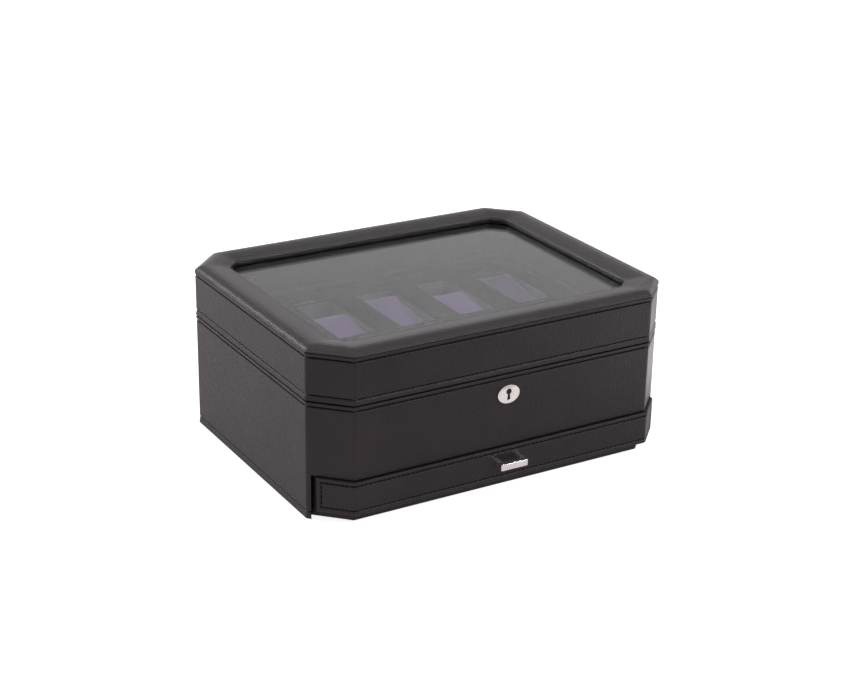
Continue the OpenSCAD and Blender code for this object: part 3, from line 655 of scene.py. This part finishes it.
def front_border(rows, width):
    """Indices round the edge of the front's grid."""
    top = (rows - 1) * width
    return (list(range(width)) + [r * width + width - 1 for r in range(1, rows)]
            + [top + i for i in range(width - 2, -1, -1)] + [r * width for r in range(rows - 2, 0, -1)])


def front_thread(s, z, upright=False):
    """Place of one stitch on the drawer front."""
    x, y, a = front_point(s)
    out = (math.cos(a), math.sin(a), 0)
    along = (0, 0, 1) if upright else (-math.sin(a), math.cos(a), 0)
    sink = BEAD + SINK
    return (x - out[0] * sink, y - out[1] * sink, z), along, out


def front_threads():
    """Two level rows of stitches, and an upright one at each end."""
    s0, s1 = SEAM_IN, FRONT_LENGTH - SEAM_IN
    z0, z1 = FRONT_Z0 + SEAM_IN, FRONT_Z1 - SEAM_IN
    across, up = round((s1 - s0) / PITCH), round((z1 - z0) / PITCH)
    places = [front_thread(s0 + (s1 - s0) * j / across, z) for j in range(across + 1) for z in (z0, z1)]
    places += [front_thread(s, z0 + (z1 - z0) * j / up, True) for s in (s0, s1) for j in range(1, up)]
    return places


def drawer_front():
    margin = EDGE_ROWS[-1] + 0.5
    columns = (EDGE_ROWS + [s for s in FRONT_AT if margin < s < FRONT_LENGTH - margin]
               + [FRONT_LENGTH - d for d in reversed(EDGE_ROWS)])
    heights = [FRONT_Z0 + d for d in EDGE_ROWS] + [FRONT_Z1 - d for d in reversed(EDGE_ROWS)]
    points = []
    for z in heights:
        for s in columns:
            x, y, a = front_point(s)
            depth = front_depth(s, z)
            points.append((x - depth * math.cos(a), y - depth * math.sin(a), z))
    faces = grid_faces(len(heights), len(columns))
    # the border is turned back over the board, to its back face
    border = front_border(len(heights), len(columns))
    base, n = len(points), len(border)
    for i in border:
        x, y, _ = front_point(columns[i % len(columns)])
        points.append((*corner_line(x, y), points[i][2]))
    faces += [(border[i], border[(i + 1) % n], base + (i + 1) % n, base + i) for i in range(n)]
    skin = mesh_piece("drawer_front_skin", points, faces, BLACK, "drawer", 50)
    # faces deep in the seam grooves get the painted groove shade
    darken(skin, [front_depth((s0 + s1) / 2, (z0 + z1) / 2) > BEAD + 0.25 * GROOVE
                  for z0, z1 in zip(heights, heights[1:]) for s0, s1 in zip(columns, columns[1:])])
    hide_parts("drawer_front_leather")
    stitches("drawer_stitches", front_threads(), "drawer")


def corner_line(x, y):
    """Point on the back face of the drawer front behind a point of its outer face."""
    inner = [Vector(corner(k, ROOM_IN - 0.05)) for k in (4, 5, 6, 7)]
    wing_back = WING_Y - 0.6
    if abs(x) > inner[3].x - 2.2:
        return (x, wing_back)
    here = Vector((x, y))
    nearest = []
    for p, q in zip(inner, inner[1:]):
        d = q - p
        f = max(0, min(1, (here - p).dot(d) / d.length_squared))
        nearest.append(p + d * f)
    best = min(nearest, key=lambda c: (c - here).length)
    return (best.x, min(best.y, wing_back))


# ---- Flat cut-outs with rolled edges ----------------------------------------------------

def rounded(points, radius, steps=6):
    """Closed outline with its corners rounded."""
    out = []
    n = len(points)
    for i in range(n):
        p, c, q = (Vector(points[(i + k) % n]) for k in (-1, 0, 1))
        a, b = (p - c).normalized(), (q - c).normalized()
        half = a.angle(b) / 2
        cut = min(radius / math.tan(half), (p - c).length * 0.49, (q - c).length * 0.49)
        centre = c + (a + b).normalized() * (cut / math.cos(half))
        s, e = c + a * cut - centre, c + b * cut - centre
        for j in range(steps + 1):
            out.append(tuple(centre + s.slerp(e, j / steps, s)))
    return out


def plate(name, outlines, thick, roll, bevel_steps, material, body, matrix):
    """Flat plate with holes and rolled edges; outlines in its own plane, thickness from z 0 up."""
    curve = bpy.data.curves.new(name, "CURVE")
    curve.dimensions = "2D"
    curve.fill_mode = "BOTH"
    curve.extrude = (thick / 2 - roll) * MM
    curve.bevel_depth = roll * MM
    curve.bevel_resolution = bevel_steps
    curve.offset = -roll * MM
    for points in outlines:
        spline = curve.splines.new("POLY")
        spline.points.add(len(points) - 1)
        for i, (x, y) in enumerate(points):
            spline.points[i].co = (x * MM, y * MM, 0, 1)
        spline.use_cyclic_u = True
    source = new_object(name + "_curve", curve)
    data = evaluated(source)
    data.name = name
    bpy.data.objects.remove(source)
    data.transform(Matrix.Translation((0, 0, thick / 2 * MM)))
    data.transform(matrix)
    made = new_object(name, data)
    outward(made, 0.005)
    made.data.materials.clear()
    made.data.materials.append(material)
    smooth(made, 40)
    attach(made, body)
    return made


def well_boxes():
    """Plan of each well, as (x0, y0, x1, y1)."""
    columns, pitch, width, length = 5, 51, 35, 79
    boxes = []
    for y in (low("well_liners").y, high("well_liners").y - length):
        for i in range(columns):
            x = (i - (columns - 1) / 2) * pitch
            boxes.append((x - width / 2, y, x + width / 2, y + length))
    return boxes


def tray_cover():
    thick, roll = 3.6, 1.1
    outer = [(x, y) for x, y, _, _ in outline(ROOM_IN + 0.25, 400, 4)]
    holes = [rounded([(x0, y0), (x1, y0), (x1, y1), (x0, y1)], 2.2) for x0, y0, x1, y1 in well_boxes()]
    cover = plate("tray_cover_leather", [outer] + holes, thick, roll, 4, TRAY, "case",
                  Matrix.Translation((0, 0, (COVER_Z - thick) * MM)))
    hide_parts("tray_cover")


def key_plate():
    """Oval plate with its keyhole: a round hole over a slot."""
    lo, hi = low("key_plate"), high("key_plate")
    a, b = (hi.x - lo.x) / 2, (hi.z - lo.z) / 2
    oval = [(a * math.cos(math.radians(5 * i)), b * math.sin(math.radians(5 * i))) for i in range(72)]
    r, height, slot = 2.1, 8.2, 2.4
    top = height / 2 - r
    turns = [math.radians(t) for t in range(-65, 246, 10)]
    hole = [(r * math.cos(t), top + r * math.sin(t)) for t in turns]
    hole += [(-slot / 2, top + r - height), (slot / 2, top + r - height)]
    turn = (Matrix.Translation((0, hi.y * MM, (hi.z + lo.z) / 2 * MM))
            @ Matrix.Rotation(math.radians(90), 4, "X"))
    made = plate("key_plate_oval", [oval, hole], hi.y - lo.y, 0.22, 5, NICKEL, "case", turn)
    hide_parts("key_plate")


def drawer_pull():
    """Flat bar bent to a U, seen from above."""
    lo, hi = low("drawer_pull"), high("drawer_pull")
    bar = 3.8
    outer = [(lo.x, hi.y), (lo.x, lo.y), (hi.x, lo.y), (hi.x, hi.y)]
    inner = [(hi.x - bar, hi.y), (hi.x - bar, lo.y + bar), (lo.x + bar, lo.y + bar), (lo.x + bar, hi.y)]
    made = plate("pull_bar", [bent(outer, 0.9) + bent(inner, 0.6)], hi.z - lo.z, 0.25, 4, NICKEL, "drawer",
                 Matrix.Translation((0, 0, lo.z * MM)))
    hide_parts("drawer_pull")


def bent(ends, radius):
    """Three-sided line with its two corners rounded."""
    return [ends[0]] + arc_corner(*ends[:3], radius) + arc_corner(*ends[1:], radius) + [ends[3]]


def arc_corner(p, c, q, radius, steps=8):
    """Arc round a square corner c between p and q."""
    p, c, q = Vector(p), Vector(c), Vector(q)
    a, b = (p - c).normalized(), (q - c).normalized()
    centre = c + (a + b) * radius
    s, e = c + a * radius - centre, c + b * radius - centre
    return [tuple(centre + s.slerp(e, j / steps)) for j in range(steps + 1)]


# ---- Cushions ---------------------------------------------------------------------------

CUSHION_FALL = 8.5                              # degrees by which a top falls to the front
SIM_SCALE = 0.01                                # simulated at ten times life size
MAX_SWELL = 0.008                               # most that a point may move there


def cushion_ring(length, height):
    """Section along a cushion as (y, z) points: rounded corners, and a top falling to the front."""
    r = 2.2
    signs = ((1, 1), (-1, 1), (-1, -1), (1, -1))
    centres = [(sy * (length / 2 - r), sz * (height / 2 - r)) for sy, sz in signs]
    ring = []
    for q in range(4):
        (cy, cz), (ny, nz) = centres[q], centres[(q + 1) % 4]
        for j in range(7):
            a = math.radians(90 * q + 15 * j)
            ring.append((cy + r * math.cos(a), cz + r * math.sin(a)))
        a = math.radians(90 * q + 90)
        sy, sz = cy + r * math.cos(a), cz + r * math.sin(a)
        ey, ez = ny + r * math.cos(a), nz + r * math.sin(a)
        steps = max(2, round(math.dist((sy, sz), (ey, ez)) / 3))
        ring += [(sy + (ey - sy) * k / steps, sz + (ez - sz) * k / steps) for k in range(1, steps)]
    fall = math.tan(math.radians(CUSHION_FALL))
    return [(y, z - (length / 2 - y) * fall * (0.5 + z / height)) for y, z in ring]


def cushion_mesh(width, length, height):
    """Sewn cushion form, a wrap between two end panels, as points, faces, the seams' points and the ring."""
    ring = cushion_ring(length, height)
    m = len(ring)
    half = width / 2 - 0.5
    across = 10
    points = []
    for i in range(across + 1):
        x = -half + 2 * half * i / across
        points += [(x, y, z) for y, z in ring]
    faces = grid_faces(across + 1, m, False, True)
    for end, last in ((-1, 0), (1, across * m)):
        for share in (0.86, 0.7, 0.52, 0.34, 0.17):
            start = len(points)
            points += [(end * half, y * share, z * share) for y, z in ring]
            faces += [(last + c, last + (c + 1) % m, start + (c + 1) % m, start + c) for c in range(m)]
            last = start
        points.append((end * half, 0, 0))
        faces += [(last + c, last + (c + 1) % m, len(points) - 1) for c in range(m)]
    seams = list(range(m)) + list(range(across * m, (across + 1) * m))
    return points, faces, seams, ring


def inflate(obj, seams):
    """Blows the form up by a cloth simulation with its two seams held."""
    frames = 20
    held = obj.vertex_groups.new(name="held")
    held.add(seams, 1.0, "REPLACE")
    cloth = obj.modifiers.new("cloth", "CLOTH")
    cloth.settings.use_pressure = True
    cloth.settings.uniform_pressure_force = 1.0
    cloth.settings.vertex_group_mass = "held"
    cloth.settings.effector_weights.gravity = 0
    cloth.settings.quality = 6
    cloth.point_cache.frame_start, cloth.point_cache.frame_end = 1, frames
    for f in range(1, frames + 1):
        bpy.context.scene.frame_set(f)
    apply_modifiers(obj)
    bpy.context.scene.frame_set(1)


def stuffed(name, width, length, height):
    """Points of a filled cushion, with its faces and its ring."""
    points, faces, seams, ring = cushion_mesh(width + 1.2, length, height + 0.6)
    rest = [Vector(p) * SIM_SCALE for p in points]
    data = bpy.data.meshes.new(name)
    data.from_pydata(rest, [], faces)
    obj = new_object(name, data)
    outward(obj)
    inflate(obj, seams)
    for v, p in zip(obj.data.vertices, rest):
        move = v.co - p
        if move.length > MAX_SWELL:
            v.co = p + move.normalized() * MAX_SWELL
    result = [tuple(v.co / SIM_SCALE) for v in obj.data.vertices]
    bpy.data.objects.remove(obj)
    return result, faces, ring


def seam_cord(ring, x):
    """Piping round one end panel."""
    radius = 0.45
    points = []
    m = len(ring)
    for i, (y, z) in enumerate(ring):
        py, pz = ring[i - 1]
        ny, nz = ring[(i + 1) % m]
        tangent = Vector((0, ny - py, nz - pz)).normalized()
        out = Vector((0, tangent.z, -tangent.y))
        for q in range(6):
            a = math.radians(60 * q)
            points.append(Vector((x, y, z)) + out * (radius * math.cos(a))
                          + Vector((radius * math.sin(a), 0, 0)))
    return points, grid_faces(m, 6, True, True)


def cushion(name, form, flip):
    """One filled cushion with its piping; flip mirrors the form from side to side."""
    points, faces, ring = form
    lo, hi = low(name), high(name)
    centre = (lo + hi) / 2
    shape = [Vector((x * flip, y, z)) for x, y, z in points]
    floor = min(p.z for p in shape)

    def placed(shape):
        return [(p.x + centre.x, p.y + centre.y, p.z - floor + lo.z) for p in shape]

    piece = mesh_piece(name + "_suede", placed(shape), faces, PURPLE, name, 60)
    cords, cord_faces = [], []
    for side in (-1, 1):
        base = len(cords)
        cord, around = seam_cord(ring, side * ((hi - lo).x / 2 + 0.1))
        cords += cord
        cord_faces += [tuple(base + i for i in f) for f in around]
    mesh_piece(name + "_piping", placed(cords), cord_faces, PURPLE, name, 60)
    finer = piece.modifiers.new("smooth", "SUBSURF")
    finer.levels = finer.render_levels = 1
    apply_modifiers(piece)
    smooth(piece, 60)
    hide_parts(name)


def cushions():
    """The ten cushions; those of one length share a simulated form."""
    forms = {}
    rng = random.Random(5)
    for name in sorted(n for n in NODES if n.startswith("cushion_")):
        size = high(name) - low(name)
        key = round(size.y)
        if key not in forms:
            forms[key] = stuffed(f"cushion_form_{key}", size.x, size.y, size.z)
        cushion(name, forms[key], rng.choice((-1, 1)))


# ---- Stage ------------------------------------------------------------------------------

def make_stage():
    """Pale floor, burnt out for the camera. Reflections see a dark band some way in front of the box, with
    more light on either side of it and to the right."""
    bpy.ops.mesh.primitive_plane_add(size=12, location=(0, 0, -0.0003))
    floor = bpy.context.object
    floor.name = "studio_floor"
    s = Shader("studio_floor", Roughness=0.9, Specular_IOR_Level=0.0)
    where = s.node("SeparateXYZ", {0: s.place})
    x, y = where.outputs[0], where.outputs[1]
    path = s.node("LightPath").outputs
    shade = s.blend(s.span(y, 0, 1, -0.36, -0.29), (0.20, 0.17, 0.185), (0.84, 0.76, 0.79))
    s.set("Base Color", s.blend(path["Is Glossy Ray"], (0.84, 0.84, 0.84), shade))
    right = s.sum(s.span(x, 0, 1.4, 0.20, 0.26), s.span(x, 0, -0.9, 0.28, 0.36))
    back = s.span(y, 0, 0.02, -0.08, 0.06)
    front = s.sum(s.span(y, 0.35, 0, -0.56, -0.42), s.span(y, 0, 0.27, -0.36, -0.29))
    bright = s.sum(s.sum(right, back), front)
    lift = s.node("Math", {0: path["Is Camera Ray"], 1: 0.85}, operation="MULTIPLY").outputs[0]
    glow = s.node("Math", {0: path["Is Glossy Ray"], 1: bright, 2: lift}, operation="MULTIPLY_ADD")
    light = s.node("Emission", {"Color": (1, 1, 1, 1), "Strength": glow.outputs[0]})
    s.show(s.node("AddShader", {0: s.main.outputs[0], 1: light.outputs[0]}).outputs[0])
    floor.data.materials.append(s.material)


def make_world():
    """White for the camera and through glass. Reflections see it bright at the horizon, dull above that and
    brighter again overhead."""
    world = bpy.data.worlds.new("studio")
    bpy.context.scene.world = world
    world.use_nodes = True
    g = Graph(world.node_tree)
    light = g.nodes["Background"]
    light.inputs["Color"].default_value = (1.0, 0.995, 0.985, 1)
    light.inputs["Strength"].default_value = 0.45
    up = g.node("SeparateXYZ", {0: g.node("TexCoord").outputs["Generated"]}).outputs["Z"]
    strength = g.sum(g.span(up, 1.35, 0.12, 0.10, 0.46, "SMOOTHSTEP"), g.span(up, 0, 0.65, 0.42, 0.80))
    mirrored = g.node("Background", {"Color": (1, 0.935, 0.98, 1), "Strength": strength})
    seen = g.node("Background", {"Color": (1, 1, 1, 1)})
    path = g.node("LightPath").outputs
    clear = g.node("Math", {0: path["Is Camera Ray"], 1: path["Is Transmission Ray"]}, operation="MAXIMUM")
    reflected = g.mix(path["Is Glossy Ray"], light.outputs[0], mirrored.outputs[0])
    shown = g.mix(clear.outputs[0], reflected, seen.outputs[0])
    g.links.new(shown, g.nodes["World Output"].inputs["Surface"])


def lamp(name, place, size, watts):
    """Round soft lamp turned to the middle of the box."""
    data = bpy.data.lights.new(name, "AREA")
    data.shape = "DISK"
    data.size = size
    data.energy = watts
    obj = new_object(name, data)
    obj.location = place
    obj.rotation_mode = "QUATERNION"
    obj.rotation_quaternion = (Vector((0, 0, 0.06)) - Vector(place)).to_track_quat("-Z", "Y")


def make_lights():
    lamp("soft_left_back", (-1.5, 1.3, 1.1), 1.2, 24)
    lamp("soft_front", (1.0, -1.52, 1.12), 0.35, 11)


# ---- Scene ------------------------------------------------------------------------------

bpy.context.scene.view_settings.view_transform = "Standard"
make_camera()
make_world()
make_lights()
make_stage()
paint_nodes()
lid_leather()
case_leather()
lid_bezel()
drawer_front()
tray_cover()
key_plate()
drawer_pull()
cushions()
